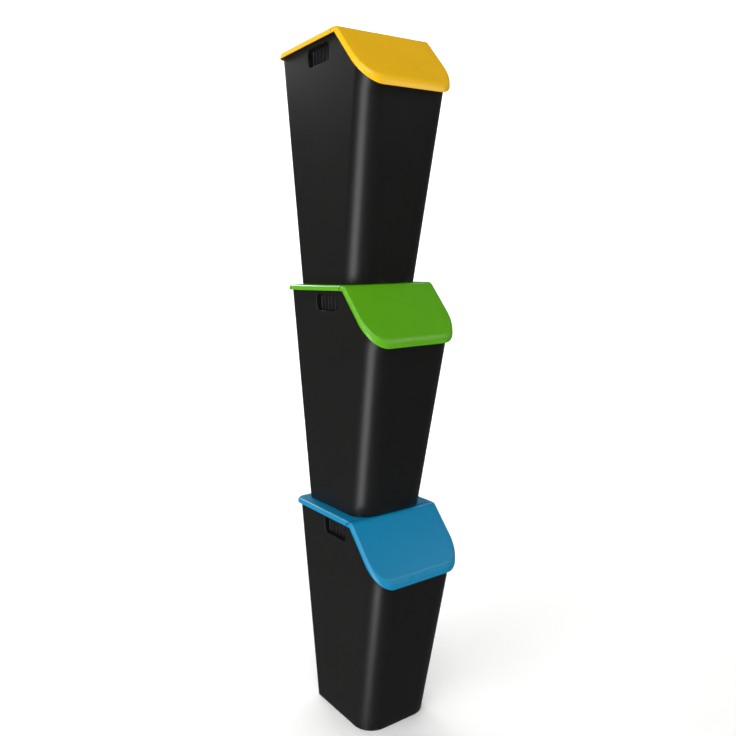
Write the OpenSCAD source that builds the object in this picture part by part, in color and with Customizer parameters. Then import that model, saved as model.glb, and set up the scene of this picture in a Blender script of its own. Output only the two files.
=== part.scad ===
// Recycling bin station: three tapered bins that stand on one another.
// Each bin has a lid with a fixed deck, which carries the bin above, and a sloped flap that lifts
// to let waste in. The front is -Y, the origin is on the floor under the middle of the lids.

/* [Stack] */
// Height that each closed bin adds to the stack
bin_pitch = 450; // [400:1:540]

/* [Lid] */
// Width of the lid
lid_w = 208; // [190:1:250]
// Depth of the lid from rear edge to front edge
lid_d = 304; // [290:1:366]
// Depth of the level deck, up to the line where the lid bends down
deck_d = 218; // [205:1:225]
// Height lost between the bend and the front edge
slope_drop = 98; // [78:1:118]
// Radius of the bend, which is also the radius of the flap's rolled edge
bend_r = 12; // [12:0.5:15]
// Radius of the lid's front corners
lid_front_r = 40; // [30:1:48]
// Radius of the lid's rear corners
lid_rear_r = 20; // [16:1:24]
// Thickness of the deck
lid_t = 2.8; // [2.3:0.1:3.4]
// Thickness of the skirt that hangs round the lid
skirt_t = 2.4; // [1.8:0.1:3]
// Depth of the skirt, square to the lid's surface
skirt_h = 10; // [9.5:0.1:11]

/* [Body] */
// Width of the base
base_w = 162; // [140:1:180]
// Depth of the base
base_d = 196; // [170:1:202]
// How far the base's rear stands in front of the lid's rear edge
base_rear_inset = 20; // [12:1:26]
// Radius of the base's front corners
base_front_r = 43; // [30:1:50]
// Radius of the base's rear corners
base_rear_r = 15; // [12:1:22]
// Radius of the front corners at the rim
rim_front_r = 38; // [30:1:46]
// Radius of the rear corners at the rim
rim_rear_r = 16; // [12:1:22]
// How far the body's wall stands inside the lid's edge
rim_inset = 6; // [6:0.1:8]
// Width of the lip that stands out round the rim
rim_lip = 3; // [2:0.1:3]
// Height of that lip
rim_lip_h = 6; // [4:0.1:6.5]
// Thickness of the walls
wall = 2.5; // [2:0.1:3]
// Thickness of the floor
floor_t = 3; // [2:0.1:4]
// Height of the foot round the base
foot_h = 5; // [4.5:0.1:8]
// Width of the foot round the base
foot_w = 4; // [3:0.1:6]

/* [Finger grips] */
// Length of each grip
grip_l = 76; // [60:1:100]
// Height of each grip
grip_h = 32; // [24:1:38]
// Depth of each grip
grip_depth = 12; // [8:0.5:14]
// Distance from the deck's surface down to the grip's middle
grip_drop = 33; // [30:1:60]
// Radius of the grip's corners
grip_r = 9; // [4:0.5:11]
// How far in front of the lid's middle each grip lies
grip_lead = -4; // [-20:1:20]
// Ribs on the floor of each grip
grip_ribs = 5; // [2:1:8]
// Width of each rib
rib_w = 2.5; // [1.5:0.1:4]
// Height of each rib
rib_t = 1.5; // [0.8:0.1:3]

/* [Hinge] */
// Radius of the hinge pins
pin_r = 1.5; // [1:0.05:2]
// Radius of the heads on the pins
pin_head_r = 2.6; // [2.4:0.1:3.4]
// Thickness of the heads
pin_head_t = 1.3; // [0.8:0.1:1.4]
// Radius of the ears and knuckles round the pins
boss_r = 4; // [3.5:0.1:4.5]
// Thickness of each ear under the deck
ear_t = 5; // [3:0.5:7]
// How far the outer face of each ear stands inside the lid's edge
ear_inset = 11; // [10.9:0.1:14]
// Length of each knuckle on the flap
knuckle_l = 11.5; // [8:0.5:20]

/* [Stacking] */
// Height of the panel on the deck that the foot of the next bin drops over
plateau_h = 3.5; // [2:0.1:4]
// Radius of that panel's corners
plateau_r = 12; // [6:1:20]
// Depth of the rib under the deck that keeps it inside the rim
key_h = 6; // [3:0.1:6]
// Thickness of that rib
key_t = 2; // [1.5:0.1:3]

/* [Clearances] */
// Gap between the lid and the rim it rests over
seat_gap = 0.3; // [0.2:0.05:0.5]
// How far the flap lies below the deck's surface
flap_drop = 0.3; // [0.2:0.05:0.5]
// Gap between the flap's rolled edge and the deck
roll_gap = 0.3; // [0.2:0.05:0.6]
// Gap round the panel and the rib that locate one piece in another
locate_gap = 1; // [0.5:0.1:1.5]
// Running gap round the pins in the flap's knuckles
pin_run = 0.05; // [0.02:0.01:0.1]
// Gap round the pins in the deck's ears
pin_seat = 0.02; // [0.01:0.01:0.05]
// Gap between an ear and the knuckle beside it, and least gap between a pin's head and the wall
side_gap = 0.5; // [0.3:0.1:1]

/* [Hidden] */

YELLOW = "#d7a500";
GREEN = "#509605";
BLUE = "#0078a0";
BLACK = "#1e1e1d";
STEEL = "#b4b6b8";

// steps in each rounded corner, and on the bend
corner_steps = 8;
bend_steps = 6;
// a length that reaches past anything in one bin
far = 1000;
// how far a shape sinks into the one it joins, or a cut starts outside it
sink = 1;
// thickness of the two slices that a tapered shape is drawn between
slice = 0.01;

rear_y = lid_d / 2;
bend_y = rear_y - deck_d;
slope_a = atan(slope_drop / (lid_d - deck_d));
hinge_y = bend_y + bend_r * tan(slope_a / 2);
hinge_z = bin_pitch - bend_r;

base_rear_y = rear_y - base_rear_inset;
base_front_y = base_rear_y - base_d;
front_rim_z = bin_pitch - slope_drop;
// how far the front wall comes forward for each unit of height
front_lean = (base_front_y + rear_y - rim_inset) / front_rim_z;
floor_z = foot_h + floor_t;
// depth of the rim below the lid's surface
rim_depth = lid_t + seat_gap;

roll_r = bend_r - flap_drop;
roll_clear_r = roll_r + roll_gap;
// thickness of the deck's front edge, where it meets the rolled edge of the flap
lip_t = 0.5;
lip_y = hinge_y + sqrt(pow(roll_clear_r, 2) - pow(bend_r - lip_t, 2));
// how far the rolled edge reaches under the deck, in degrees
roll_tuck = 18;
// the rim is cut down to this height, where the rolled edge turns into it
relief_z = hinge_z + 3.5;
// the ears stand clear of the rim, and leave room for the pins' heads inside the tapered wall
ear_x = min(
    lid_w / 2 - ear_inset,
    between(base_w / 2, lid_w / 2 - rim_inset, hinge_z - pin_head_r) - wall - pin_head_t - side_gap
);
knuckle_x = ear_x - ear_t - side_gap;
// depth of the ear's upright leg, and the height of its foot over the hinge line
ear_leg = 5;
ear_foot = 1;
// room behind the rolled edge and behind each ear
ear_room = 1;
ear_back_y = hinge_y + roll_clear_r + ear_room;
plateau_front_y = ear_back_y + ear_room;
key_front_y = ear_back_y + ear_leg + ear_room;
grip_y = -grip_lead;
grip_z = bin_pitch - grip_drop;

// One rounded corner of an outline, turned anticlockwise from angle a.
function corner(x, y, r, a) = [
    for (i = [0:corner_steps]) [x + r * cos(a + 90 * i / corner_steps), y + r * sin(a + 90 * i / corner_steps)]
];

// A rectangle of half width hw from y0 to y1, with corner radius r0 at y0 and r1 at y1.
function outline(hw, y0, y1, r0, r1) = concat(
    corner(hw - r1, y1 - r1, r1, 0),
    corner(r1 - hw, y1 - r1, r1, 90),
    corner(r0 - hw, y0 + r0, r0, 180),
    corner(hw - r0, y0 + r0, r0, 270)
);

// The lid's outline, seen from above, moved inwards.
function lid_outline(inset) = outline(
    lid_w / 2 - inset, inset - rear_y, rear_y - inset, lid_front_r - inset, lid_rear_r - inset
);

function between(low, high, z) = low + (high - low) * z / bin_pitch;

// The body's outline at height z, moved inwards.
function body_outline(z, inset) = outline(
    between(base_w / 2, lid_w / 2 - rim_inset, z) - inset,
    base_front_y - front_lean * z + inset,
    between(base_rear_y, rear_y - rim_inset, z) - inset,
    between(base_front_r, rim_front_r, z) - inset,
    between(base_rear_r, rim_rear_r, z) - inset
);

// A point at distance r and angle a from the hinge line, in the YZ plane.
function from_hinge(r, a) = [hinge_y + r * cos(a), hinge_z + r * sin(a)];

// The side view of everything that lies deeper than d under the lid's surface.
function under_outline(d) =
    let (
        r = max(bend_r - d, 0.5),
        y = bend_y + (r + d) * tan(slope_a / 2),
        z = bin_pitch - d - r,
        end = [y - r * sin(slope_a) - far * cos(slope_a), z + r * cos(slope_a) - far * sin(slope_a)]
    )
    concat(
        [[far, -far], [far, bin_pitch - d]],
        [for (i = [0:bend_steps]) let (a = 90 + slope_a * i / bend_steps) [y + r * cos(a), z + r * sin(a)]],
        [end, [end.x, -far]]
    );

// Carries a side view, drawn in the YZ plane, across the width w.
module across(w) {
    rotate([90, 0, 90]) linear_extrude(w, center = true) children();
}

module under(d) {
    across(far) polygon(under_outline(d));
}

module prism(points, z0, z1) {
    translate([0, 0, z0]) linear_extrude(z1 - z0) polygon(points);
}

// A round bar along the hinge line.
module bar(r, length, x = 0) {
    translate([x, hinge_y, hinge_z]) rotate([0, 90, 0]) cylinder(r = r, h = length, center = true, $fn = 48);
}

// A block given by its corners.
module block(low, high) {
    translate(low) cube(high - low);
}

// The tapered shape of the body between two heights, moved inwards.
module taper(z0, z1, inset) {
    hull() {
        prism(body_outline(z0, inset), z0, z0 + slice);
        prism(body_outline(z1, inset), z1 - slice, z1);
    }
}

// The lid's whole shell, from its surface to the edge of its skirt.
module lid_shell(drop) {
    difference() {
        intersection() {
            prism(lid_outline(0), 0, bin_pitch + sink);
            under(drop);
        }
        intersection() {
            prism(lid_outline(skirt_t), -sink, bin_pitch + sink);
            under(lid_t);
        }
        under(skirt_h);
    }
}

// The space of one finger grip on the right-hand wall, grown by a margin on every side.
module grip_space(margin) {
    x = between(base_w / 2, lid_w / 2 - rim_inset, grip_z) - grip_depth - margin;
    r = grip_r + margin;
    translate([x, grip_y, grip_z]) rotate([90, 0, 90]) linear_extrude(far)
        polygon(outline(grip_l / 2 + margin, -grip_h / 2 - margin, grip_h / 2 + margin, r, r));
}

module grip_rib_row() {
    x = between(base_w / 2, lid_w / 2 - rim_inset, grip_z) - grip_depth;
    step = grip_l / (grip_ribs + 1);
    for (i = [1:grip_ribs])
        translate([x - sink, grip_y - grip_l / 2 + step * i - rib_w / 2, grip_z - grip_h / 2])
            cube([rib_t + sink, rib_w, grip_h]);
}

module bin_body() {
    difference() {
        union() {
            intersection() {
                taper(0, bin_pitch, 0);
                under(rim_depth);
            }
            difference() {
                intersection() {
                    taper(0, bin_pitch, -rim_lip);
                    under(rim_depth);
                }
                under(rim_depth + rim_lip_h);
            }
        }
        difference() {
            taper(floor_z, bin_pitch + sink, wall);
            for (side = [0, 1]) mirror([side, 0, 0]) grip_space(wall);
        }
        prism(body_outline(0, foot_w), -sink, foot_h);
        for (side = [0, 1]) mirror([side, 0, 0]) difference() {
            grip_space(0);
            grip_rib_row();
        }
        intersection() {
            bar(roll_clear_r, lid_w);
            block([-far, hinge_y, relief_z], [far, far, far]);
        }
    }
}

// The ear under the deck on the right-hand side: it reaches the hinge line from behind and below.
module ear() {
    x0 = ear_x - ear_t;
    bar(boss_r, ear_t, ear_x - ear_t / 2);
    block([x0, hinge_y, hinge_z - boss_r], [ear_x, ear_back_y + ear_leg, hinge_z + ear_foot]);
    block([x0, ear_back_y, hinge_z - boss_r], [ear_x, ear_back_y + ear_leg, bin_pitch - lid_t / 2]);
}

// The raised panel that the next bin's foot drops over, moved inwards.
module panel(inset, z0, z1) {
    margin = foot_w + locate_gap + inset;
    r = plateau_r - inset;
    intersection() {
        prism(body_outline(0, margin), z0, z1);
        prism(outline(base_w / 2 - margin, plateau_front_y + inset, base_rear_y - margin, r, r), z0, z1);
    }
}

module lid_deck() {
    deck_under = bin_pitch - lid_t;
    key = body_outline(deck_under - key_h, wall + locate_gap);
    key_inside = body_outline(deck_under - key_h, wall + locate_gap + key_t);
    difference() {
        union() {
            difference() {
                lid_shell(0);
                block([-far, -far, -far], [far, lip_y, far]);
                bar(roll_clear_r, far);
            }
            panel(0, bin_pitch - sink, bin_pitch + plateau_h);
            difference() {
                prism(key, deck_under - key_h, bin_pitch - lid_t / 2);
                prism(key_inside, deck_under - key_h - sink, bin_pitch);
                block([-far, -far, -far], [far, key_front_y, far]);
            }
            for (side = [0, 1]) mirror([side, 0, 0]) ear();
        }
        panel(lid_t, deck_under - sink, bin_pitch + plateau_h - lid_t);
        bar(pin_r + pin_seat, lid_w);
    }
}

// One knuckle of the flap on the right-hand side, with the web that joins it to the rolled edge.
module knuckle() {
    x = knuckle_x - knuckle_l / 2;
    reach = bend_r - lid_t + sink / 2;
    bar(boss_r, knuckle_l, x);
    translate([x, 0, 0]) across(knuckle_l) polygon([
        from_hinge(boss_r - sink, 70),
        from_hinge(boss_r - sink, 70 + slope_a),
        from_hinge(reach, 90 + slope_a),
        from_hinge(reach, 90)
    ]);
}

module lid_flap() {
    difference() {
        union() {
            difference() {
                lid_shell(flap_drop);
                block([-far, hinge_y, -far], [far, far, far]);
            }
            // the rolled edge, which tucks in under the deck
            difference() {
                bar(roll_r, lid_w);
                bar(bend_r - lid_t, far);
                across(far) polygon([
                    from_hinge(0, 0),
                    from_hinge(far, 90 - roll_tuck),
                    [far, -far],
                    [-far, -far],
                    from_hinge(far, 90 + slope_a / 2)
                ]);
            }
            // the round cheeks that carry the skirt past the hinge line
            for (side = [0, 1]) mirror([side, 0, 0]) intersection() {
                bar(roll_r, skirt_t, lid_w / 2 - skirt_t / 2);
                block([0, hinge_y - sink, bin_pitch - skirt_h], [far, far, far]);
            }
            for (side = [0, 1]) mirror([side, 0, 0]) knuckle();
        }
        bar(pin_r + pin_run, 2 * knuckle_x + 2 * sink);
    }
}

module hinge_pin() {
    length = ear_x - knuckle_x + knuckle_l;
    bar(pin_r, length, ear_x - length / 2);
    bar(pin_head_r, pin_head_t, ear_x + pin_head_t / 2);
}

module at_tier(tier) {
    translate([0, 0, tier * bin_pitch]) children();
}

module body_of(tier) {
    color(BLACK) at_tier(tier) bin_body();
}

module deck_of(tier, shade) {
    color(shade) at_tier(tier) lid_deck();
}

module flap_of(tier, shade) {
    color(shade) at_tier(tier) lid_flap();
}

module pin_of(tier, side) {
    color(STEEL) at_tier(tier) mirror([side, 0, 0]) hinge_pin();
}

body_of(0);  // bottom_bin
deck_of(0, BLUE);  // bottom_deck
flap_of(0, BLUE);  // bottom_flap
pin_of(0, 1);  // bottom_pin_left
pin_of(0, 0);  // bottom_pin_right
body_of(1);  // middle_bin
deck_of(1, GREEN);  // middle_deck
flap_of(1, GREEN);  // middle_flap
pin_of(1, 1);  // middle_pin_left
pin_of(1, 0);  // middle_pin_right
body_of(2);  // top_bin
deck_of(2, YELLOW);  // top_deck
flap_of(2, YELLOW);  // top_flap
pin_of(2, 1);  // top_pin_left
pin_of(2, 0);  // top_pin_right
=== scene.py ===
"""Recycling bin station: three stacked tapered bins, each with a deck and a sloped flap for a lid.

Everything is in metres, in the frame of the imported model: the front is -Y and the floor is z = 0.
"""

import logging
import math
from dataclasses import dataclass, field
from enum import Enum

import bmesh
import bpy
import numpy as np
from mathutils import Matrix, Vector


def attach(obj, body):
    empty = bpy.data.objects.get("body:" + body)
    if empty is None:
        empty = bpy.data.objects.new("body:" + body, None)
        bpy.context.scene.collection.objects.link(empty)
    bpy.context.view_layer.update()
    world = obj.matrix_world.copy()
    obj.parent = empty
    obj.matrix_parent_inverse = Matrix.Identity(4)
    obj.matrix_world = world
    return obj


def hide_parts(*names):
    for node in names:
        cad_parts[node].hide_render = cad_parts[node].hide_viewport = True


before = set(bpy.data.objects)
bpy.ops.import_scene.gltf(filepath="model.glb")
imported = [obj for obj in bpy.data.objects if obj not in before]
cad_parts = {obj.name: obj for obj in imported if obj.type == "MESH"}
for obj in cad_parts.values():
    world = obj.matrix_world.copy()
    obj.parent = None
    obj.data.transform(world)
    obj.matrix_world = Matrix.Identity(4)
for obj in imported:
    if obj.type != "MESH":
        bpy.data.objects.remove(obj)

log = logging.getLogger("bin_station")
MM = 0.001
ACROSS = 24  # points across the front and the rear of a bin or a lid
CORNER = 12  # points round each corner
MIRROR = np.array([-1, 1, 1])  # left for right
SHARP = 38  # edges that turn by more than this many degrees stay sharp
EASE = 0.4 * MM  # width of the eased edges of a plate
SEWN = 0.004 * MM  # points closer together than this are made one
SPECK = 0.001 * MM  # edges shorter than this are dropped
Triple = tuple[float, float, float]


# ---- sizes


@dataclass(frozen=True)
class Station:
    """Sizes that the bins and the lids share, and the side view that they all follow."""

    pitch: float = 450 * MM
    lid_w: float = 208 * MM
    lid_d: float = 304 * MM
    deck_d: float = 218 * MM
    slope_drop: float = 98 * MM
    bend_r: float = 12 * MM
    lid_t: float = 2.8 * MM
    skirt_t: float = 2.4 * MM
    skirt_h: float = 10 * MM
    front_r: float = 40 * MM
    rear_r: float = 20 * MM
    flap_drop: float = 0.3 * MM
    panel_h: float = 3.5 * MM
    deck_lip: float = 0.5 * MM
    least_r: float = 0.5 * MM

    @property
    def rear_y(self) -> float:
        """Place of the lid's rear edge."""
        return self.lid_d / 2

    @property
    def slope(self) -> float:
        """Angle of the flap below the level, in radians."""
        return math.atan(self.slope_drop / (self.lid_d - self.deck_d))

    @property
    def hinge_y(self) -> float:
        """Place of the hinge line, under the bend."""
        return self.rear_y - self.deck_d + self.bend_r * math.tan(self.slope / 2)

    @property
    def hinge_z(self) -> float:
        """Height of the hinge line."""
        return self.pitch - self.bend_r

    def height(self, y: np.ndarray, depth: np.ndarray) -> np.ndarray:
        """Height of the side view, square to the lid's surface by a depth.

        It is level behind the hinge line, a round arc about that line, and then the slope's straight line.

        Args:
            y: places along the depth of the lid.
            depth: how far below the lid's surface, up to about 10 mm.

        Returns:
            The heights, shaped as y and depth together.
        """
        r = np.maximum(self.bend_r - depth, self.least_r)
        dy = y - self.hinge_y
        s, c = math.sin(self.slope), math.cos(self.slope)
        arc = self.hinge_z + np.sqrt(np.maximum(r**2 - dy**2, 0))
        line = self.hinge_z + r * c + (dy + r * s) * s / c
        return np.where(dy >= 0, self.pitch - depth + 0 * dy, np.where(dy > -r * s, arc, line))

    def deck_front(self, z: np.ndarray) -> np.ndarray:
        """Place of the deck's front edge: a hollow round cut about the hinge line, and a thin upright lip.

        Args:
            z: heights.

        Returns:
            The place along Y at each height.
        """
        cut = np.sqrt(np.maximum(self.bend_r**2 - (z - self.hinge_z) ** 2, 0))
        lip = math.sqrt(self.bend_r**2 - (self.bend_r - self.deck_lip) ** 2)
        return self.hinge_y + np.maximum(cut, lip)


@dataclass(frozen=True)
class Shape:
    """A rounded rectangle, seen from above."""

    half_w: float
    front: float
    rear: float
    front_r: float
    rear_r: float

    def half(self, grow: float, side: int) -> tuple[np.ndarray, np.ndarray]:
        """Its right-hand edge from rear to front: a quarter circle, a straight line, a quarter circle.

        Args:
            grow: how far the edge is moved outwards.
            side: points along the straight line.

        Returns:
            The x and y of the points.
        """
        r1, r0 = self.rear_r + grow, self.front_r + grow
        rear = np.radians(np.linspace(90, 0, CORNER))
        front = np.radians(np.linspace(0, -90, CORNER))
        cx1, cy1 = self.half_w - self.rear_r, self.rear - self.rear_r
        cx0, cy0 = self.half_w - self.front_r, self.front + self.front_r
        middle_x, middle_y = np.full(side, self.half_w + grow), np.linspace(cy1, cy0, side)
        x = np.concatenate([cx1 + r1 * np.cos(rear), middle_x, cx0 + r0 * np.cos(front)])
        y = np.concatenate([cy1 + r1 * np.sin(rear), middle_y, cy0 + r0 * np.sin(front)])
        return x, y


# ---- surfaces


def blend_rows(a: np.ndarray, b: np.ndarray, n: int) -> np.ndarray:
    """n rows in a straight line from the points a to the points b: a + (b - a) * t, with t from 0 to 1."""
    t = np.linspace(0, 1, n).reshape((n,) + (1,) * a.ndim)
    return a + (b - a) * t


def round_profile(c0: float, c1: float, r: float, a0: float, a1: float, n: int) -> np.ndarray:
    """n points on an arc about (c0, c1), as (c0 + r cos a, c1 + r sin a), with a from a0 to a1 degrees."""
    a = np.radians(np.linspace(a0, a1, n))
    return np.stack([c0 + r * np.cos(a), c1 + r * np.sin(a)], -1)


def closed_loop(right: np.ndarray) -> np.ndarray:
    """The whole edge of a shape that is the same on the left and the right.

    The rear edge is a straight line from the first right-hand point to its mirror image, the front edge one
    between the last points, and the left side is the right side with x reversed.

    Args:
        right: points of the right-hand edge from rear to front, shaped (..., n, 3).

    Returns:
        Points shaped (..., 2 * ACROSS + 2 * n, 3), anticlockwise from the rear edge's right end.
    """
    left = right * MIRROR
    rear = np.moveaxis(blend_rows(right[..., 0, :], left[..., 0, :], ACROSS), 0, -2)
    front = np.moveaxis(blend_rows(left[..., -1, :], right[..., -1, :], ACROSS), 0, -2)
    return np.concatenate([rear, left, front, right[..., ::-1, :]], -2)


def sheet_between(right: np.ndarray) -> np.ndarray:
    """A sheet of straight lines across, from each right-hand point to its mirror image on the left."""
    return np.moveaxis(blend_rows(right, right * MIRROR, ACROSS), 0, 1)


def shrink(outline: np.ndarray, d: float) -> np.ndarray:
    """A closed outline moved to its left by d, each corner along the mean of its edges' normals.

    Args:
        outline: its corners, shaped (n, 2).
        d: how far it is moved.

    Returns:
        The moved corners.
    """
    step = np.roll(outline, -1, 0) - outline
    step /= np.linalg.norm(step, axis=1)[:, None]
    normal = np.stack([-step[:, 1], step[:, 0]], -1)
    both = normal + np.roll(normal, 1, 0)
    return outline + d * both / np.maximum((both * both).sum(1)[:, None] / 2, 0.3)


class Skin:
    """Gathers grids of points, sews them along their shared edges and makes one piece of them."""

    def __init__(self) -> None:
        """Starts with no points."""
        self.points: list[np.ndarray] = []
        self.wear: list[np.ndarray] = []
        self.faces: list[list[int]] = []
        self.count = 0

    def grid(
        self,
        p: np.ndarray,
        wear: np.ndarray | float = 0.0,
        ring: bool = False,
        keep: np.ndarray | None = None,
    ) -> None:
        """Adds a grid of points as quads.

        Args:
            p: points shaped (rows, columns, 3).
            wear: how exposed each row is to rubbing, from 0 to 1.
            ring: True if the last column joins the first.
            keep: which quads to keep, shaped (rows - 1, columns - 1).
        """
        w = np.broadcast_to(np.asarray(wear, float).reshape(-1, 1), p.shape[:2])
        if ring:
            p, w = np.concatenate([p, p[:, :1]], 1), np.concatenate([w, w[:, :1]], 1)
        m, n = p.shape[:2]
        i = self.count + np.arange(m * n).reshape(m, n)
        quads = np.stack([i[:-1, :-1], i[:-1, 1:], i[1:, 1:], i[1:, :-1]], -1)
        quads = quads.reshape(-1, 4) if keep is None else quads[keep]
        self.faces += quads.tolist()
        self.points.append(p.reshape(-1, 3))
        self.wear.append(w.ravel())
        self.count += m * n

    def face(self, loop: np.ndarray) -> None:
        """Adds one flat face with the given edge.

        Args:
            loop: the points of its edge, in order.
        """
        self.faces.append(list(range(self.count, self.count + len(loop))))
        self.points.append(loop)
        self.wear.append(np.zeros(len(loop)))
        self.count += len(loop)

    def plates(self, outline: np.ndarray, near: float, far: float) -> None:
        """Adds a flat plate that stands across the X axis, with eased edges, and its mirror image.

        Args:
            outline: its side view as (y, z), clockwise seen from the right.
            near, far: places of the right-hand plate's two faces.
        """
        small = shrink(outline, -EASE)
        for x0, x1 in ((near, far), (-far, -near)):
            rows = [(small, x0), (outline, x0 + EASE), (outline, x1 - EASE), (small, x1)]
            p = np.stack([np.column_stack([np.full(len(o), x), o]) for o, x in rows])
            self.grid(p, np.array([1, 0.6, 0.6, 1]), ring=True)
            self.face(p[0])
            self.face(p[-1])

    def piece(self, name: str, body: str, node: str, slot: str, rise: float) -> bpy.types.Object:
        """Sews the grids and makes the piece.

        Args:
            name: the piece's name.
            body: the body that it rides on.
            node: the CAD node that it stands for.
            slot: the record's material slot; not used.
            rise: how far the whole piece is moved up.

        Returns:
            The new object.
        """
        co = np.concatenate(self.points) + np.array([0, 0, rise])
        mesh = bpy.data.meshes.new(name)
        mesh.from_pydata(co, [], self.faces)
        worn = mesh.attributes.new("wear", "FLOAT", "POINT")
        worn.data.foreach_set("value", np.concatenate(self.wear).astype(np.float32))
        bm = bmesh.new()
        bm.from_mesh(mesh)
        bmesh.ops.remove_doubles(bm, verts=bm.verts, dist=SEWN)
        bmesh.ops.dissolve_degenerate(bm, edges=bm.edges, dist=SPECK)
        bmesh.ops.holes_fill(bm, edges=bm.edges, sides=8)
        bmesh.ops.recalc_face_normals(bm, faces=bm.faces)
        loose = sum(1 for e in bm.edges if not e.is_manifold)
        bm.to_mesh(mesh)
        bm.free()
        mesh.polygons.foreach_set("use_smooth", np.ones(len(mesh.polygons), bool))
        mesh.set_sharp_from_angle(angle=math.radians(SHARP))
        obj = bpy.data.objects.new(name, mesh)
        bpy.context.scene.collection.objects.link(obj)
        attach(obj, body)
        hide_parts(node)
        log.info("%s: %d faces, %d edges not shared by two faces", name, len(mesh.polygons), loose)
        return obj


@dataclass(frozen=True)
class Piece:
    """A piece of one tier, drawn for the lowest tier and moved up to its own."""

    station: Station = field(default_factory=Station)

    def skin(self) -> Skin:
        """Gathers the piece's closed skin."""
        raise NotImplementedError

    def build(self, name: str, body: str, node: str, slot: str, rise: float) -> bpy.types.Object:
        """Builds the piece.

        Args:
            name, body, node: what it is called, rides on and stands for; slot is not used.
            rise: height of the base of its tier.

        Returns:
            The new object.
        """
        return self.skin().piece(name, body, node, slot, rise)


# ---- the bin


@dataclass(frozen=True)
class Pocket:
    """One finger grip: a rounded pocket pressed into a side wall, with ribs on its floor."""

    length: float = 76 * MM
    tall: float = 32 * MM
    deep: float = 12 * MM
    mid_y: float = 4 * MM
    mid_z: float = 417 * MM
    corner_r: float = 9 * MM
    ribs: int = 5
    rib_w: float = 2.5 * MM
    rib_t: float = 1.5 * MM
    rib_root: float = 1 * MM
    rib_over: float = 0.4 * MM
    mouth_r: float = 1.2 * MM
    inner_r: float = 1.5 * MM
    floor_r: float = 1.5 * MM
    flat: float = 0.6 * MM

    def edge(self, grow: float, counts: tuple[int, int, int, int]) -> np.ndarray:
        """Its outline in the wall, grown by a distance, as four sides that meet in the middle of the corners.

        Each side is an eighth of a circle, a straight line and an eighth of a circle, in even steps. The
        first runs along the top from the rear, and then come the front, the bottom and the rear.

        Args:
            grow: how far the outline is moved outwards.
            counts: points along the top, the front, the bottom and the rear.

        Returns:
            The (y, z) of the points, one row for each.
        """
        r = self.corner_r + grow
        hy, hz = self.length / 2 - self.corner_r, self.tall / 2 - self.corner_r
        sides = []
        corners = ((hy, hz), (-hy, hz), (-hy, -hz), (hy, -hz), (hy, hz))
        for i, n in enumerate(counts):
            (cy0, cz0), (cy1, cz1), a = corners[i], corners[i + 1], 45 + 90 * i
            path = np.concatenate(
                [round_profile(cy0, cz0, r, a, a + 45, 12), round_profile(cy1, cz1, r, a + 45, a + 90, 12)]
            )
            run = np.concatenate([[0], np.cumsum(np.linalg.norm(np.diff(path, axis=0), axis=1))])
            at = np.linspace(0, run[-1], n)
            sides.append(np.stack([np.interp(at, run, path[:, 0]), np.interp(at, run, path[:, 1])], -1))
        return np.concatenate(sides) + np.array([self.mid_y, self.mid_z])

    def profile(self, inset: float) -> list[tuple[float, float]]:
        """The pocket's wall from mouth to floor: a quarter round, a straight side and a quarter round.

        Args:
            inset: 0 on the outer face, or the wall's thickness on the inner one.

        Returns:
            How far the outline is grown, and how deep it lies, for each line.
        """
        turn = np.linspace(0, math.pi / 2, 6)
        r, f = self.mouth_r if inset == 0 else self.inner_r, self.floor_r
        mouth = [(inset + r * (1 - math.sin(a)), r * (1 - math.cos(a))) for a in turn]
        return mouth + [(inset - f * (1 - math.cos(a)), self.deep - f * (1 - math.sin(a))) for a in turn]


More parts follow.
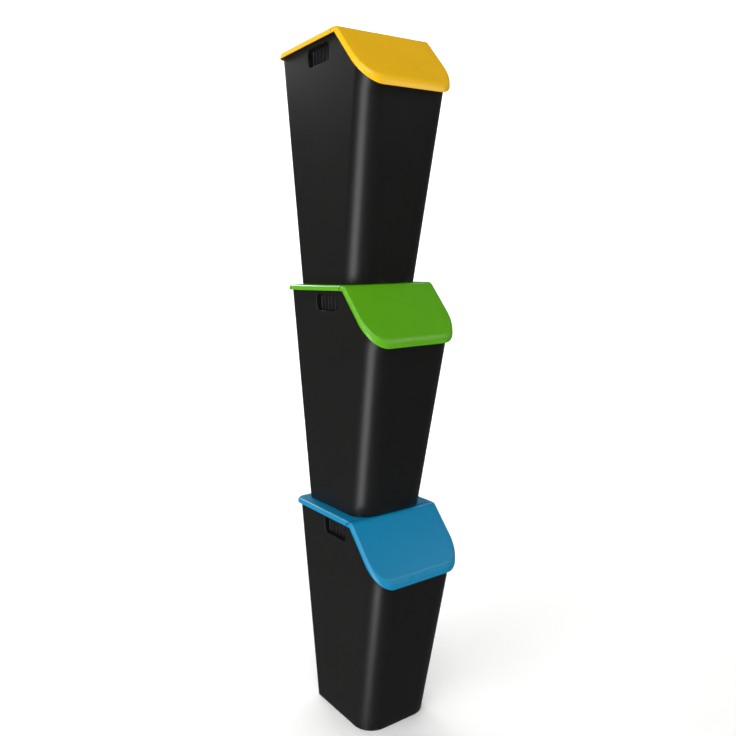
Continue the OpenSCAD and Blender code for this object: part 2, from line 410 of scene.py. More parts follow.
@dataclass(frozen=True)
class BinShell(Piece):
    """A tapered bin: a rounded base on a foot, leaning walls with grips, and a lipped rim along the lid."""

    pocket: Pocket = field(default_factory=Pocket)
    base_w: float = 162 * MM
    base_front: float = -64 * MM
    base_rear: float = 132 * MM
    base_front_r: float = 43 * MM
    base_rear_r: float = 15 * MM
    rim_front_r: float = 38 * MM
    rim_rear_r: float = 16 * MM
    rim_inset: float = 6 * MM
    lip: float = 3 * MM
    lip_h: float = 6 * MM
    rim_depth: float = 3.1 * MM
    wall: float = 2.5 * MM
    floor_z: float = 8 * MM
    foot_h: float = 5 * MM
    foot_w: float = 4 * MM
    recess_r: float = 1.5 * MM
    foot_edge: float = 0.8 * MM
    base_edge: float = 2.6 * MM
    floor_r: float = 5 * MM
    neck_r: float = 0.8 * MM
    lip_edge: float = 0.7 * MM
    cut_end: float = 11.5 * MM
    cut_z: float = 3.5 * MM
    marks_z: float = 400 * MM
    wall_rows: int = 14
    passes: int = 14

    @property
    def lean(self) -> float:
        """How far the front wall comes forward for each unit of height."""
        s = self.station
        return (self.base_front + s.rear_y - self.rim_inset) / (s.pitch - s.slope_drop)

    def side_marks(self) -> np.ndarray:
        """Places of the points along a side wall near the rim, closest at the ends of the flap's cut.

        Returns:
            Their places along Y, from rear to front.
        """
        h = self.station.hinge_y
        back = h + self.cut_end + np.array([0.2, 0.1, -0.05, -0.15]) * MM
        cut = h + np.array([8, 4, 0.1, 0, -0.1]) * MM
        bend = h - np.arange(1.5, 9.5, 1.5) * MM
        level, slope = np.linspace(125 * MM, -44 * MM, 18), np.linspace(-72 * MM, -113 * MM, 6)
        return np.concatenate([level, back, cut, bend, slope])

    def mix(self, low: float, high: float, z: np.ndarray) -> np.ndarray:
        """A size that changes evenly from the base to the top."""
        return low + (high - low) * z / self.station.pitch

    def half_w(self, z: np.ndarray) -> np.ndarray:
        """Half the body's width at a height."""
        return self.mix(self.base_w / 2, self.station.lid_w / 2 - self.rim_inset, z)

    def half(self, z: np.ndarray, inset: float) -> tuple[np.ndarray, np.ndarray]:
        """The right-hand edge of the body, each point at its own height.

        It is a rounded rectangle whose width, depth and radii change evenly with height: a quarter circle at
        the rear, points along the side, and a quarter circle at the front.

        Args:
            z: height of each point, the points in the last axis.
            inset: how far the edge is moved inwards.

        Returns:
            The x and y of the points.
        """
        s = self.station
        n = len(self.side_marks())
        w = self.half_w(z) - inset
        rear = self.mix(self.base_rear, s.rear_y - self.rim_inset, z) - inset
        front = self.base_front - self.lean * z + inset
        r1 = self.mix(self.base_rear_r, self.rim_rear_r, z) - inset
        r0 = self.mix(self.base_front_r, self.rim_front_r, z) - inset
        a1, a0 = np.radians(np.linspace(90, 0, CORNER)), np.radians(np.linspace(0, -90, CORNER))
        one, two, three = slice(0, CORNER), slice(CORNER, CORNER + n), slice(CORNER + n, None)
        x, y = np.empty_like(z), np.empty_like(z)
        x[..., one] = (w - r1)[..., one] + r1[..., one] * np.cos(a1)
        y[..., one] = (rear - r1)[..., one] + r1[..., one] * np.sin(a1)
        x[..., three] = (w - r0)[..., three] + r0[..., three] * np.cos(a0)
        y[..., three] = (front + r0)[..., three] + r0[..., three] * np.sin(a0)
        # along the side, the marks hold above marks_z and spread evenly with the wall below it
        high = np.maximum(z[..., two], self.marks_z)
        ends = self.mix(self.base_rear - self.base_rear_r, s.rear_y - self.rim_inset - self.rim_rear_r, high)
        starts = self.base_front - self.lean * high + self.mix(self.base_front_r, self.rim_front_r, high)
        share = (ends - self.side_marks()) / (ends - starts)
        x[..., two] = w[..., two]
        y[..., two] = (rear - r1)[..., two] + ((front + r0) - (rear - r1))[..., two] * share
        return x, y

    def rim_height(self, y: np.ndarray, depth: float) -> np.ndarray:
        """Height of a line along the rim, lowered where the flap's rolled edge turns into it.

        Args:
            y: places along the rim.
            depth: how far the line lies below the lid's surface.

        Returns:
            The height at each place.
        """
        s = self.station
        z = s.height(y, np.asarray(depth))
        # in the cut, deeper lines lie a little lower, so that no two meet
        low = s.hinge_z + self.cut_z - 0.1 * (depth - self.rim_depth)
        return np.where((y > s.hinge_y - 0.05 * MM) & (y < s.hinge_y + self.cut_end), np.minimum(z, low), z)

    def at_rim(self, inset: float, depth: float) -> np.ndarray:
        """A line round the rim, found by sliding each point on the leaning wall to the right depth.

        Args:
            inset: how far it lies inside the body's outer face.
            depth: its depth below the lid's surface.

        Returns:
            Points shaped (n, 3), the right-hand edge from rear to front.
        """
        z = np.full(2 * CORNER + len(self.side_marks()), self.station.pitch)
        for _ in range(self.passes):
            x, y = self.half(z, inset)
            z = self.rim_height(y, depth)
        return np.stack([x, y, z], -1)

    def at_height(self, inset: float, z: float) -> np.ndarray:
        """A level line round the body, as its right-hand edge from rear to front.

        Args:
            inset: how far it lies inside the body's outer face.
            z: its height.

        Returns:
            Points shaped (n, 3).
        """
        level = np.full(2 * CORNER + len(self.side_marks()), z)
        x, y = self.half(level, inset)
        return np.stack([x, y, level], -1)

    def walls(self, low: np.ndarray, high: np.ndarray, inset: float) -> np.ndarray:
        """Rows between two lines on a wall: z = low + (high - low) * t, with x and y from the edge at z.

        Args:
            low, high: the two lines.
            inset: how far the wall lies inside the body's outer face.

        Returns:
            Points shaped (rows, n, 3).
        """
        z = blend_rows(low[:, 2], high[:, 2], self.wall_rows)
        x, y = self.half(z, inset)
        return np.stack([x, y, z], -1)

    def wall_with_pocket(self, skin: Skin, rows: np.ndarray, inset: float, wear: float) -> None:
        """Adds a wall whose two flat sides are opened for the grips, and the pockets in the openings.

        The ring round each opening goes in straight lines from the flat side's own edge to the pocket's
        outline. The pocket's wall is its profile carried round that outline.

        Args:
            skin: what the surfaces are added to.
            rows: the wall's right-hand rows.
            inset: 0 for the outer face, or the wall's thickness for the inner one.
            wear: how exposed the wall is.
        """
        m, n = rows.shape[:2]
        a, b = CORNER - 1, n - CORNER
        flat = np.zeros((m - 1, n - 1), bool)
        flat[:, a:b] = True
        strip = np.zeros((m - 1, ACROSS), bool)
        loop = closed_loop(rows)
        join = np.zeros((m - 1, 1), bool)
        hidden = np.concatenate([strip, flat, join, strip[:, 1:], join, flat[:, ::-1], join], 1)
        skin.grid(loop, wear, ring=True, keep=~hidden)
        side = rows[:, a : b + 1]
        # the rim's slope faces the grip's front, so the border is cut in four at the bend, not the corner
        bend = int(np.argmax(side[-1, :, 1] < self.station.hinge_y))
        front = np.concatenate([side[-1, bend:], side[-2::-1, -1]])
        sides = [side[-1, : bend + 1], front, side[0, ::-1], side[:, 0]]
        border, counts, p = np.concatenate(sides), tuple(len(v) for v in sides), self.pocket
        floor_x = self.half_w(p.mid_z) - p.deep - inset
        steps = p.profile(inset)
        lines = []
        for grow, deep in [(steps[0][0] + p.flat, 0), *steps]:
            yz = p.edge(grow, counts)
            wall_x = self.half_w(yz[:, 1]) - inset
            lines.append(np.column_stack([wall_x + (floor_x - wall_x) * deep / p.deep, yz]))
        # flat lines just inside the border and just outside the mouth keep the wall's shading flat
        ring = np.stack([border, border + (lines[0] - border) * 0.02, lines[0], lines[1]])
        pocket = np.stack(lines[1:])
        end = pocket[-1]
        end = end[np.linalg.norm(end - np.roll(end, 1, 0), axis=1) > SPECK]
        shades = np.array([wear + 0.8] * 3 + [wear] * (len(steps) - 3))
        for flip in (1, -1):
            mirror = np.array([flip, 1, 1])
            skin.grid(ring * mirror, wear, ring=True)
            skin.grid(pocket * mirror, shades, ring=True)
            skin.face(end * mirror)
            if inset == 0:
                self.pocket_ribs(skin, floor_x, flip)

    def pocket_ribs(self, skin: Skin, floor_x: float, flip: int) -> None:
        """Adds the ribs on a grip's floor, each half an oval carried from the pocket's bottom to its top.

        Args:
            skin: what the ribs are added to.
            floor_x: how far from the middle the floor is.
            flip: 1 for the right-hand grip, -1 for the left-hand one.
        """
        p = self.pocket
        a = np.linspace(0, math.pi, 9)
        x = np.concatenate([[-p.rib_root], p.rib_t * np.sin(a) ** 0.6, [-p.rib_root]])
        y = np.concatenate([[p.rib_w / 2], p.rib_w / 2 * np.cos(a), [-p.rib_w / 2]])
        z = p.mid_z + np.array([-1, 1]) * (p.tall / 2 + p.rib_over)
        for i in range(1, p.ribs + 1):
            mid = p.mid_y - p.length / 2 + p.length / (p.ribs + 1) * i
            bar = np.stack([np.column_stack([flip * (floor_x + x), mid + y, np.full(len(x), h)]) for h in z])
            skin.grid(bar, 0.2, ring=True)
            skin.face(bar[0])
            skin.face(bar[1])

    def skin(self) -> Skin:
        """The whole bin as one closed skin, from under the base, up the outside and down the inside.

        Returns:
            The gathered skin.
        """
        skin = Skin()
        recess, toe, base = self.recess_r, self.foot_edge, self.base_edge
        foot = [(self.foot_w + recess, self.foot_h)]
        foot += round_profile(self.foot_w + recess, self.foot_h - recess, recess, 90, 180, 5).tolist()
        foot += round_profile(self.foot_w - toe, toe, toe, 0, -90, 4).tolist()
        foot += round_profile(base, base, base, 270, 180, 8).tolist()
        under = np.stack([self.at_height(i, z) for i, z in foot])
        r, e, top = self.neck_r, self.lip_edge, self.rim_depth + self.lip_h
        outer = self.walls(under[-1], self.at_rim(0, top + r), 0)
        rim = round_profile(-r, top + r, r, 0, -90, 4).tolist()
        for inset, depth, start in (
            (e - self.lip, top - e, 90),
            (e - self.lip, self.rim_depth + e, 180),
            (self.wall - e, self.rim_depth + e, 270),
        ):
            rim += round_profile(inset, depth, e, start, start + 90, 4).tolist()
        lipped = np.stack([self.at_rim(i, d) for i, d in rim])
        well_r = self.floor_r
        inside_low = self.at_height(self.wall, self.floor_z + well_r)
        inside = self.walls(inside_low, self.at_rim(self.wall, top + r), self.wall)
        neck = np.stack([inside[-1], lipped[-1]])
        well = round_profile(self.wall + well_r, self.floor_z + well_r, well_r, 180, 270, 7)
        bowl = np.stack([self.at_height(i, z) for i, z in well])
        for rows, wear in (
            (under, np.array([0] * 6 + [1] * 4 + [1] * 8)),
            (lipped, np.array([0.2] * 4 + [1] * 12)),
            (neck, 0.3),
            (bowl, 0.0),
        ):
            skin.grid(closed_loop(rows), wear, ring=True)
        self.wall_with_pocket(skin, outer, 0, 0)
        self.wall_with_pocket(skin, inside, self.wall, 0)
        for cap in (under[0], bowl[-1]):
            skin.grid(sheet_between(cap))
        return skin


# ---- the lid


@dataclass(frozen=True)
class LidEdge:
    """The section of a lid's edge: over the round corner, down the skirt, round its tip and up the inside."""

    station: Station = field(default_factory=Station)
    top: float = 0.0
    round_r: float = 5 * MM
    inner_r: float = 2.4 * MM
    tip_r: float = 0.9 * MM
    hold: float = 0.4 * MM

    def section(self) -> np.ndarray:
        """The section as (inset, depth) pairs: 15 down the outside and 15 back up the inside.

        Returns:
            Points shaped (30, 2).
        """
        s, r, h = self.station, self.round_r, self.hold
        outer = np.concatenate(
            [
                [(r + h, self.top)],
                round_profile(r, self.top + r, r, 270, 180, 7),
                [(0, self.top + r + h), (0, s.skirt_h - self.tip_r - h)],
                round_profile(self.tip_r, s.skirt_h - self.tip_r, self.tip_r, 180, 90, 4),
                [(s.skirt_t / 2, s.skirt_h)],
            ]
        )
        t, q = s.skirt_t, self.inner_r
        inner = np.concatenate(
            [
                [(t / 2, s.skirt_h)],
                round_profile(t - self.tip_r, s.skirt_h - self.tip_r, self.tip_r, 90, 0, 4),
                [(t, s.skirt_h - self.tip_r - h), (t, s.lid_t + q + h)],
                round_profile(t + q, s.lid_t + q, q, 180, 270, 7),
                [(t + q + h, s.lid_t)],
            ]
        )
        return np.concatenate([outer, inner])

    @staticmethod
    def shades() -> np.ndarray:
        """How exposed each line of the section is to rubbing."""
        corner, tip = [0.1, 0.5, 0.8, 1, 1, 1, 0.8, 0.5], [0.6, 0.8, 0.8, 0.6, 0.4]
        return np.array([*corner, 0.2, 0.2, *tip] + [0.2] * 15)


@dataclass(frozen=True)
class Deck(Piece):
    """The fixed part of a lid: a level deck with a raised panel, a skirt round three sides, rib and ears."""

    panel_gap: float = 14 * MM
    panel_w: float = 152 * MM
    panel_rear: float = 127 * MM
    panel_front_r: float = 26 * MM
    panel_rear_r: float = 12 * MM
    rib: Shape = Shape(half_w=94.1 * MM, front=-200 * MM, rear=142.2 * MM, front_r=30 * MM, rear_r=12.5 * MM)
    rib_t: float = 2 * MM
    rib_h: float = 6 * MM
    ear_x: float = 93 * MM
    ear_t: float = 5 * MM
    ear_back: float = 13 * MM
    boss_r: float = 4 * MM
    sink: float = 0.4 * MM
    rib_edge: float = 0.6 * MM
    rib_back: float = 19 * MM
    panel_foot_r: float = 0.9 * MM
    panel_edge_r: float = 1.3 * MM
    panel_inner_r: float = 1 * MM
    side: int = 22

    @property
    def panel(self) -> Shape:
        """The raised panel, which starts a gap behind the hinge line."""
        front = self.station.hinge_y + self.panel_gap
        return Shape(self.panel_w / 2, front, self.panel_rear, self.panel_front_r, self.panel_rear_r)

    def line(self, inset: float, depth: float) -> np.ndarray:
        """The right-hand edge of the deck, from the rear to the cut about the hinge line.

        Args:
            inset, depth: how far in and how far down it lies.

        Returns:
            Points shaped (n, 3).
        """
        s = self.station
        z = s.pitch - depth
        front = float(s.deck_front(np.array(z)))
        x, y = Shape(s.lid_w / 2, front, s.rear_y, 0.0, s.rear_r).half(-inset, self.side)
        n = CORNER + self.side
        y[CORNER:n] = np.linspace(s.rear_y - s.rear_r, front, self.side)
        return np.column_stack([x[:n], y[:n], np.full(n, z)])

    def raised(self, grow: float, z: float) -> np.ndarray:
        """The right-hand edge of the raised panel."""
        x, y = self.panel.half(grow, self.side)
        return np.column_stack([x, y, np.full(len(x), z)])

    def skin(self) -> Skin:
        """The deck as one closed skin, with its rib and ears.

        Returns:
            The gathered skin.
        """
        s, skin = self.station, Skin()
        section = LidEdge(s).section()
        lines = np.stack([self.line(i, d) for i, d in section])
        left = lines[:, ::-1] * MIRROR
        rear = np.moveaxis(blend_rows(lines[:, 0] * MIRROR, lines[:, 0], ACROSS), 0, 1)
        skin.grid(np.concatenate([left, rear, lines], 1), LidEdge.shades())
        self.front_edge(skin, section)
        # the top, with the raised panel, and the underside, with the hollow under it
        h, t = s.panel_h, s.lid_t
        f, e, q = self.panel_foot_r, self.panel_edge_r, self.panel_inner_r
        up = [(f + 0.3 * MM, 0.0), *round_profile(f, f, f, 270, 180, 5)]
        up += [*round_profile(-e, h - e, e, 0, 90, 6), (-e - 0.4 * MM, h)]
        down = [(-t, -t), (-t, h - t - q), *round_profile(-t - q, h - t - q, q, 0, 90, 5)]
        for edge, steps, wear in (
            (lines[0], up, np.array([0.1] + [0] * 5 + [0.5, 0.8, 1, 1, 0.8, 0.5] + [0.1])),
            (lines[-1], down, 0.0),
        ):
            rows = np.stack([self.raised(g, s.pitch + z) for g, z in steps])
            # the deck's square front corner is repeated, to match the panel's round one
            full = np.concatenate([edge, np.repeat(edge[-1:], CORNER, 0)])
            skin.grid(closed_loop(np.stack([full, rows[0]])), 0.1, ring=True)
            skin.grid(closed_loop(rows), wear, ring=True)
            skin.grid(sheet_between(rows[-1]), 0.1)
        self.locating_rib(skin)
        self.ears(skin)
        return skin

    def front_edge(self, skin: Skin, section: np.ndarray) -> None:
        """Closes the front on the round cut: each point outside is joined to the one opposite it inside.

        Args:
            skin: what the surfaces are added to.
            section: the edge's section.
        """
        s = self.station
        n = len(section) // 2
        cut = blend_rows(section[:n], section[:-n - 1:-1], 6)
        x, z = s.lid_w / 2 - cut[..., 0], s.pitch - cut[..., 1]
        cap = np.stack([x, s.deck_front(z), z], -1)
        skin.grid(cap)
        skin.grid(cap * MIRROR)
        skin.grid(sheet_between(cap[:, 0]), 0.3)

    def locating_rib(self, skin: Skin) -> None:
        """Adds the rib that keeps the lid on the rim: a thin section carried round the sides and the rear.

        Args:
            skin: what the rib is added to.
        """
        s = self.station
        under, r, t = s.pitch - s.lid_t, self.rib_edge, self.rib_t
        top, low = under + self.sink, under - self.rib_h
        section = [(0, top), (0, low + r), (-r, low), (r - t, low), (-t, low + r), (-t, top)]
        end = s.hinge_y + self.rib_back
        rows = []
        for grow, z in section:
            x, y = self.rib.half(grow, self.side)
            x, y = x[: CORNER + self.side], y[: CORNER + self.side].copy()
            y[CORNER:] = np.linspace(self.rib.rear - self.rib.rear_r, end, self.side)
            half = np.column_stack([x, y, np.full(len(x), z)])
            rows.append(np.concatenate([half[::-1] * MIRROR, half]))
        p = np.stack(rows + rows[:1])
        skin.grid(p, 0.1)
        skin.face(p[:-1, 0])
        skin.face(p[:-1, -1])

    def ears(self, skin: Skin) -> None:
        """Adds the two ears that hold the pins: an L whose foot ends in a round boss about the hinge line.

        Args:
            skin: what the ears are added to.
        """
        s = self.station
        y0, z0, r = s.hinge_y, s.hinge_z, self.boss_r
        back, end, top = y0 + self.ear_back, y0 + self.ear_back + self.ear_t, s.pitch - s.lid_t + self.sink
        boss = round_profile(y0, z0, r, 270, 14.5, 22)
        outline = np.concatenate([boss, [(back, z0 + r / 4), (back, top), (end, top), (end, z0 - r)]])
        skin.plates(outline, self.ear_x - self.ear_t, self.ear_x)


@dataclass(frozen=True)
class Flap(Piece):
    """The moving part of a lid: a sloped panel with a skirt, a rolled edge, round cheeks and knuckles."""

    tuck: float = 72.0
    cheek_end: float = 12.0
    knuckle_x0: float = 76 * MM
    knuckle_x1: float = 87.5 * MM
    boss_r: float = 4 * MM
    web_sink: float = 0.6 * MM
    side: int = 16
    turn: int = 18

    def arc_points(self, angles: np.ndarray, inset: np.ndarray, depth: np.ndarray) -> np.ndarray:
        """Points about the hinge line: (half width - inset, hinge y + r cos a, hinge z + r sin a).

        The radius r is the bend's less a depth. Behind the hinge line the depth is drawn in, so that nothing
        reaches below the skirt's lower edge.

        Args:
            angles: in degrees, 90 straight up and more towards the front.
            inset, depth: one of each for every line of the section.

        Returns:
            Points shaped (lines, angles, 3).
        """
        s = self.station
        a = np.radians(angles)[None, :]
        full = s.skirt_h - s.flap_drop
        room = s.bend_r - (s.bend_r - s.skirt_h) / np.sin(np.minimum(a, math.pi / 2)) - s.flap_drop
        d = s.flap_drop + (depth[:, None] - s.flap_drop) * room / full
        r = s.bend_r - d
        x = np.broadcast_to(s.lid_w / 2 - inset[:, None], r.shape)
        return np.stack([x, s.hinge_y + r * np.cos(a), s.hinge_z + r * np.sin(a)], -1)

    def slope_points(self, inset: float, depth: float) -> np.ndarray:
        """One line's points on the slope: down the straight side, then a quarter circle round the corner.

        Args:
            inset, depth: how far in and how far down the line lies.

        Returns:
            Points shaped (n, 3).
        """
        s = self.station
        start = s.hinge_y - (s.bend_r - depth) * math.sin(s.slope)
        cy = s.front_r - s.rear_y
        a = np.radians(np.linspace(0, -90, CORNER + 4))
        r = s.front_r - inset
        y = np.concatenate([np.linspace(start, cy, self.side + 2)[1:-1], cy + r * np.sin(a)])
        x = np.concatenate([np.full(self.side, s.lid_w / 2 - inset), s.lid_w / 2 - s.front_r + r * np.cos(a)])
        return np.column_stack([x, y, s.height(y, np.asarray(depth))])

    def skin(self) -> Skin:
        """The flap as one closed skin, with its knuckles.

        Returns:
            The gathered skin.
        """
        s, skin = self.station, Skin()
        section = LidEdge(s, top=s.flap_drop).section()
        half = len(section) // 2
        bend = np.linspace(self.tuck, 90 + math.degrees(s.slope), self.turn)
        slope = np.stack([self.slope_points(i, d) for i, d in section])
        shell = np.concatenate([self.arc_points(bend, section[:, 0], section[:, 1]), slope], 1)
        # the cheeks have no panel to join, so the inside of their section runs up to the rim
        inset, depth = np.minimum(section[:, 0], s.skirt_t), section[:, 1].copy()
        r = LidEdge(s).round_r
        depth[:half] = np.maximum(depth[:half], s.flap_drop + r - math.sqrt(r**2 - (r - s.skirt_t) ** 2))
        depth[half + 6 :] = depth[: half - 6][::-1]
        cheek = self.arc_points(np.linspace(self.cheek_end, self.tuck, 12), inset, depth)
        right = np.concatenate([cheek, shell], 1)
        front = np.moveaxis(blend_rows(shell[:, -1], shell[:, -1] * MIRROR, ACROSS), 0, 1)
        skin.grid(np.concatenate([right, front, right[:, ::-1] * MIRROR], 1), LidEdge.shades())
        tip = np.stack([cheek[:half, 0], cheek[: half - 1 : -1, 0]])
        skin.grid(tip)
        skin.grid(tip * MIRROR)
        for line, wear in ((shell[0], 0.1), (shell[-1], 0.0)):
            skin.grid(sheet_between(line), wear)
        skin.grid(sheet_between(np.stack([shell[0, 0], shell[-1, 0]])))
        self.knuckles(skin)
        return skin

    def knuckles(self, skin: Skin) -> None:
        """Adds the two knuckles that turn on the pins: a round boss that widens into the rolled edge.

        Args:
            skin: what the knuckles are added to.
        """
        s = self.station
        centre = np.array([s.hinge_y, s.hinge_z])
        boss = round_profile(*centre, self.boss_r, 432, 122, 26)
        web = round_profile(*centre, s.bend_r - s.lid_t + self.web_sink, 90 + math.degrees(s.slope), 90, 6)
        outline = np.concatenate([boss, web])
        skin.plates(outline, self.knuckle_x0, self.knuckle_x1)


# ---- finishes


class Value:
    """A shader value that adds up like a number: each operator adds one Math node."""

    def __init__(self, tree: bpy.types.NodeTree, socket: bpy.types.NodeSocket) -> None:
        """Wraps an output socket of a node tree."""
        self.tree = tree
        self.socket = socket

    def math(self, operation: str, *others: "Value | float", first: "Value | float | None" = None) -> "Value":
        """Adds a Math node.

        Args:
            operation: the node's operation.
            others: what follows this value.
            first: what comes before it, if anything does.

        Returns:
            The result.
        """
        node = self.tree.nodes.new("ShaderNodeMath")
        node.operation = operation
        terms = [self, *others] if first is None else [first, self, *others]
        for socket, term in zip(node.inputs, terms):
            if isinstance(term, Value):
                self.tree.links.new(term.socket, socket)
            else:
                socket.default_value = term
        return Value(self.tree, node.outputs[0])

    def __add__(self, other: "Value | float") -> "Value":
        """self + other."""
        return self.math("ADD", other)

    __radd__ = __add__

    def __sub__(self, other: "Value | float") -> "Value":
        """self - other."""
        return self.math("SUBTRACT", other)

    def __rsub__(self, other: float) -> "Value":
        """other - self."""
        return self.math("SUBTRACT", first=other)

    def __mul__(self, other: "Value | float") -> "Value":
        """self * other."""
        return self.math("MULTIPLY", other)

    __rmul__ = __mul__

    def over(self, edge: float, soft: float) -> "Value":
        """0 below an edge and 1 above it, with a soft step: (self - edge) / soft, held between 0 and 1."""
        scaled = (self - edge).math("DIVIDE", soft)
        return scaled.math("MAXIMUM", 0.0).math("MINIMUM", 1.0)


class Recipe:
    """One material's node tree, built around a Principled shader."""

    def __init__(self, name: str) -> None:
        """Starts an empty material with a shader and a place to read from.

        Args:
            name: the material's name.
        """
        self.material = bpy.data.materials.new(name)
        self.material.use_nodes = True
        self.tree = self.material.node_tree
        self.tree.nodes.clear()
        self.shader = self.node("ShaderNodeBsdfPrincipled")
        self.node("ShaderNodeOutputMaterial", Surface=self.shader.outputs["BSDF"])
        self.place = self.node("ShaderNodeTexCoord").outputs["Object"]

    def node(self, kind: str, settings: dict[str, object] | None = None, **sockets: object) -> bpy.types.Node:
        """Adds a node.

        Args:
            kind: the node's type.
            settings: its own properties, set first.
            sockets: values or links of its inputs, with _ for a space.

        Returns:
            The node.
        """
        node = self.tree.nodes.new(kind)
        for key, value in (settings or {}).items():
            setattr(node, key, value)
        for key, value in sockets.items():
            name = key.replace("_", " ")
            socket = next(i for i in node.inputs if i.name == name and i.enabled)
            self.feed(socket, value)
        return node

    def feed(self, socket: bpy.types.NodeSocket, value: object) -> None:
        """Links or sets one socket.

        Args:
            socket: the input.
            value: a link, or a number, vector or colour.
        """
        if isinstance(value, Value):
            value = value.socket
        if isinstance(value, bpy.types.NodeSocket):
            self.tree.links.new(value, socket)
        else:
            socket.default_value = value

    def noise(self, scale: float, detail: float = 3, stretch: Triple = (1, 1, 1)) -> Value:
        """Noise on the piece's own place, from 0 to 1, drawn out along an axis where stretch is under 1.

        Args:
            scale, detail: how fine it is, and how many finer layers it has.
            stretch: a factor on the place along each axis.

        Returns:
            The noise.
        """
        at = self.node("ShaderNodeMapping", Vector=self.place, Scale=stretch).outputs[0]
        noise = self.node("ShaderNodeTexNoise", Vector=at, Scale=scale, Detail=detail)
        return Value(self.tree, noise.outputs[0])

    def attribute(self, name: str) -> Value:
        """A number kept on the piece's points."""
        return Value(self.tree, self.node("ShaderNodeAttribute", {"attribute_name": name}).outputs["Fac"])

    def mix(self, factor: Value, a: object, b: object) -> bpy.types.NodeSocket:
        """A colour between a and b.

        Args:
            factor: 0 for a and 1 for b.
            a, b: colours or links.

        Returns:
            The mixed colour's socket.
        """
        node = self.node("ShaderNodeMix", {"data_type": "RGBA"}, Factor=factor)
        self.feed(node.inputs[6], a)
        self.feed(node.inputs[7], b)
        return node.outputs[2]

    def bumps(
        self, height: Value, distance: float, strength: float, under: object = None
    ) -> bpy.types.NodeSocket:
        """A normal raised by a height, over another normal if there is one.

        Args:
            height: what raises it, from 0 to 1.
            distance: how far, in metres.
            strength: the share of it that shows.
            under: the normal below it, if there is one.

        Returns:
            The normal's socket.
        """
        node = self.node("ShaderNodeBump", Height=height, Distance=distance, Strength=strength)
        if under is not None:
            self.feed(node.inputs["Normal"], under)
        return node.outputs[0]


class Colour(Enum):
    """Colours of the three lids and the bins, as linear red, green and blue."""

    BLACK = (0.0042, 0.0042, 0.0039)
    BLUE = (0.0, 0.178, 0.342)
    GREEN = (0.082, 0.31, 0.003)
    YELLOW = (0.71, 0.40, 0.0)


def tone(colour: Triple, gain: float, lift: float = 0.0) -> tuple[float, float, float, float]:
    """A colour made brighter or darker: c * gain + lift, with full opacity."""
    return tuple(min(1.0, c * gain + lift) for c in colour) + (1.0,)


@dataclass(frozen=True)
class Moulded:
    """Moulded polypropylene: a colour that varies a little, a fine grain from the mould, and rubbed edges."""

    name: str
    colour: Colour
    roughness: float = 0.3
    gloss: float = 0.36
    grain: float = 0.35
    rubbed: float = 0.05

    def make(self) -> bpy.types.Material:
        """Builds the material.

        The colour drifts a little over tens of millimetres and pales where edges are rubbed. The roughness
        follows the drift, a fine speckle, the rubbing and hair-fine scratches. Two bumps make the mould's
        grain and a faint waviness.

        Returns:
            The material.
        """
        r = Recipe(self.name)
        drift = r.noise(9, 4)
        speck = r.noise(900, 2)
        grain = r.noise(1500, 2)
        wave = r.noise(22, 2)
        scratch = r.noise(260, 4, (1, 1, 0.05)).over(0.62, 0.05) * r.noise(14, 2).over(0.5, 0.15)
        rub = (r.attribute("wear") * (0.35 + r.noise(70, 4) * 1.1)).over(0.55, 0.5)
        base = r.mix(drift, tone(self.colour.value, 0.9), tone(self.colour.value, 1.1))
        base = r.mix(rub * self.rubbed, base, tone(self.colour.value, 1.5, 0.22))
        base = r.mix(scratch * 0.02, base, tone(self.colour.value, 1.3, 0.1))
        r.feed(r.shader.inputs["Base Color"], base)
        rough = self.roughness + (drift - 0.5) * 0.08 + (speck - 0.5) * 0.1 + rub * 0.06 + scratch * 0.05
        r.feed(r.shader.inputs["Roughness"], rough)
        waved = r.bumps(wave, 0.25 * MM, 0.25)
        r.feed(r.shader.inputs["Normal"], r.bumps(grain, 0.05 * MM, self.grain, waved))
        r.shader.inputs["Specular IOR Level"].default_value = self.gloss
        r.shader.inputs["IOR"].default_value = 1.49
        return r.material


@dataclass(frozen=True)
class DrawnSteel:
    """Drawn steel wire, for the hinge pins: fine lines along the pin, and a little dulling."""

    name: str = "pin_steel_drawn"

    def make(self) -> bpy.types.Material:
        """Builds the material: the colour, roughness and bump all follow noise drawn out along the pin.

        Returns:
            The material.
        """
        r = Recipe(self.name)
        lines = r.noise(2500, 3, (0.03, 1, 1))
        dull = r.noise(180, 3)
        r.feed(r.shader.inputs["Base Color"], r.mix(dull, (0.52, 0.53, 0.54, 1), (0.66, 0.66, 0.65, 1)))
        r.feed(r.shader.inputs["Roughness"], 0.22 + lines * 0.2 + dull * 0.08)
        r.feed(r.shader.inputs["Normal"], r.bumps(lines, 0.02 * MM, 0.3))
        r.shader.inputs["Metallic"].default_value = 1.0
        return r.material


# ---- the station and its surroundings


class Tier(Enum):
    """The three bins from the floor up, each with its lid's colour."""

    BOTTOM = ("bottom", Colour.BLUE, "blue_plastic")
    MIDDLE = ("middle", Colour.GREEN, "green_plastic")
    TOP = ("top", Colour.YELLOW, "yellow_plastic")


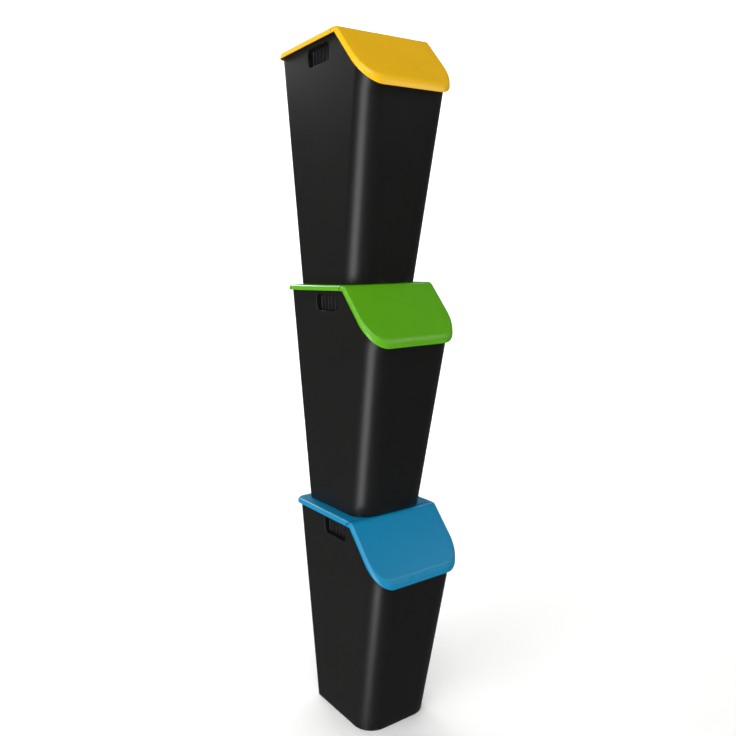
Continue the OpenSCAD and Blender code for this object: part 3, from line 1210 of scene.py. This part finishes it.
@dataclass
class Stack:
    """The three bins with their lids and hinge pins."""

    station: Station = field(default_factory=Station)

    def build(self) -> None:
        """Builds and dresses every piece, from the bottom tier up."""
        black = Moulded("bin_black", Colour.BLACK, roughness=0.38, gloss=0.38, grain=0.3, rubbed=0.04).make()
        steel = DrawnSteel().make()
        for i, tier in enumerate(Tier):
            key, colour, slot = tier.value
            rise = i * self.station.pitch
            lid = Moulded(f"{key}_lid_{colour.name.lower()}", colour).make()
            for maker, part, body, node_slot, material in (
                (BinShell, "bin", "bin", "black_plastic", black),
                (Deck, "deck", "lid", slot, lid),
                (Flap, "flap", "flap", slot, lid),
            ):
                build = maker(self.station).build
                piece = build(f"{key}_{part}_shell", f"{key}_{body}", f"{key}_{part}", node_slot, rise)
                piece.data.materials.append(material)
            for side in ("left", "right"):
                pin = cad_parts[f"{key}_pin_{side}"]
                pin.data.materials.clear()
                pin.data.materials.append(steel)
                log.info("%s: kept, in drawn steel", pin.name)


@dataclass(frozen=True)
class Studio:
    """A pale floor that goes on into the background, soft lights, and the camera."""

    stage_r: float = 3.0
    sweep_r: float = 1.6
    wall_h: float = 4.2
    lens: float = 36.354
    yaw: float = -34.24
    pitch: float = 8.0
    roll: float = 1.5625
    away: float = 1.4849
    aside: float = -0.0073
    up: float = 0.7318

    def build(self) -> None:
        """Sets up the floor, the background, the lights and the camera."""
        self.floor()
        self.background()
        self.light("tall_left", (-1.9, -0.65, -0.2), (0, 0, -0.2), (1.15, 3.2), 56)
        self.light("key_left", (-2.1, -0.3, 2.2), (0, 0, 0.8), (1.3, 1.3), 16)
        self.light("edge_right", (1.35, -1.7, 1.75), (0, 0, 0.9), (0.9, 0.5), 5)
        self.light("top_front", (-0.75, -1.6, 2.8), (0, 0, 0.9), (1.0, 1.0), 27)
        self.light("rear_soft", (0.1, 2.5, 2.2), (0, 0, 0.8), (1.6, 0.5), 30)
        self.light("behind_right", (1.9, 1.2, 3.2), (3.6, 2.4, 0.8), (1.6, 1.6), 60)
        self.light("behind_left", (0.8, 2.1, 3.2), (1.2, 4.4, 0.8), (1.6, 1.6), 60)
        self.camera()

    def floor(self) -> None:
        """A round stage in pale matt paint: a flat floor that sweeps up into a wall all round.

        Its section is a level line, a quarter circle and an upright line, turned about the Z axis.
        """
        r = Recipe("pale_stage")
        paint = r.mix(r.noise(3, 4), (0.89, 0.89, 0.885, 1), (0.92, 0.92, 0.915, 1))
        r.feed(r.shader.inputs["Base Color"], paint)
        r.shader.inputs["Roughness"].default_value = 0.8
        r.shader.inputs["Specular IOR Level"].default_value = 0.1
        sweep = round_profile(self.stage_r, self.sweep_r, self.sweep_r, 270, 360, 24)
        level = np.linspace((0.5, 0), (self.stage_r - 0.5, 0), 5)
        section = np.concatenate([[(0, 0)], level, sweep, [(self.stage_r + self.sweep_r, self.wall_h)]])
        turn = np.radians(np.linspace(0, 360, 97))[None, :]
        radius, z = section[:, 0][:, None], section[:, 1][:, None]
        p = np.stack([radius * np.cos(turn), radius * np.sin(turn), z + 0 * turn], -1)
        m, n = p.shape[:2]
        i = np.arange(m * n).reshape(m, n)
        quads = np.stack([i[:-1, :-1], i[1:, :-1], i[1:, 1:], i[:-1, 1:]], -1).reshape(-1, 4)
        mesh = bpy.data.meshes.new("stage")
        mesh.from_pydata(p.reshape(-1, 3), [], quads.tolist())
        mesh.polygons.foreach_set("use_smooth", np.ones(len(mesh.polygons), bool))
        mesh.materials.append(r.material)
        obj = bpy.data.objects.new("stage", mesh)
        bpy.context.scene.collection.objects.link(obj)
        # glossy faces show the even surroundings, not this floor, and the tall light reaches past it
        obj.visible_glossy = False
        obj.visible_shadow = False

    def background(self) -> None:
        """An even white surrounding."""
        world = bpy.data.worlds.new("studio")
        world.use_nodes = True
        world.node_tree.nodes["Background"].inputs["Color"].default_value = (1, 1, 1, 1)
        world.node_tree.nodes["Background"].inputs["Strength"].default_value = 0.13
        bpy.context.scene.world = world
        bpy.context.scene.view_settings.view_transform = "Standard"

    def light(self, name: str, at: Triple, aim: Triple, size: tuple[float, float], power: float) -> None:
        """Adds a rectangular soft light.

        Args:
            name: its name.
            at, aim: where it stands and what it faces.
            size: its width and height.
            power: in watts.
        """
        data = bpy.data.lights.new(name, "AREA")
        data.shape = "RECTANGLE"
        data.size, data.size_y = size
        data.energy = power
        obj = bpy.data.objects.new(name, data)
        obj.location = at
        obj.rotation_euler = (Vector(aim) - Vector(at)).to_track_quat("-Z", "Y").to_euler()
        obj.visible_camera = False
        bpy.context.scene.collection.objects.link(obj)

    def camera(self) -> None:
        """Places the camera: turned by yaw, tipped down by pitch, rolled, and drawn back along its view."""
        yaw, pitch, roll = (math.radians(a) for a in (self.yaw, self.pitch, self.roll))
        ahead = Vector((-math.sin(yaw) * math.cos(pitch), math.cos(yaw) * math.cos(pitch), -math.sin(pitch)))
        right = Vector((math.cos(yaw), math.sin(yaw), 0))
        over = right.cross(ahead)
        x = right * math.cos(roll) - over * math.sin(roll)
        y = right * math.sin(roll) + over * math.cos(roll)
        place = Vector((self.aside * math.cos(yaw), self.aside * math.sin(yaw), self.up)) - ahead * self.away
        data = bpy.data.cameras.new("camera")
        data.lens, data.sensor_width = self.lens, 36.0
        obj = bpy.data.objects.new("camera", data)
        obj.matrix_world = Matrix.Translation(place) @ Matrix((x, y, -ahead)).transposed().to_4x4()
        bpy.context.scene.collection.objects.link(obj)
        bpy.context.scene.camera = obj


def main() -> None:
    """Builds the stack and its surroundings."""
    logging.basicConfig(level=logging.INFO, format="%(name)s: %(message)s")
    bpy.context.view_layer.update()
    Stack().build()
    Studio().build()


if __name__ == "__main__":
    main()
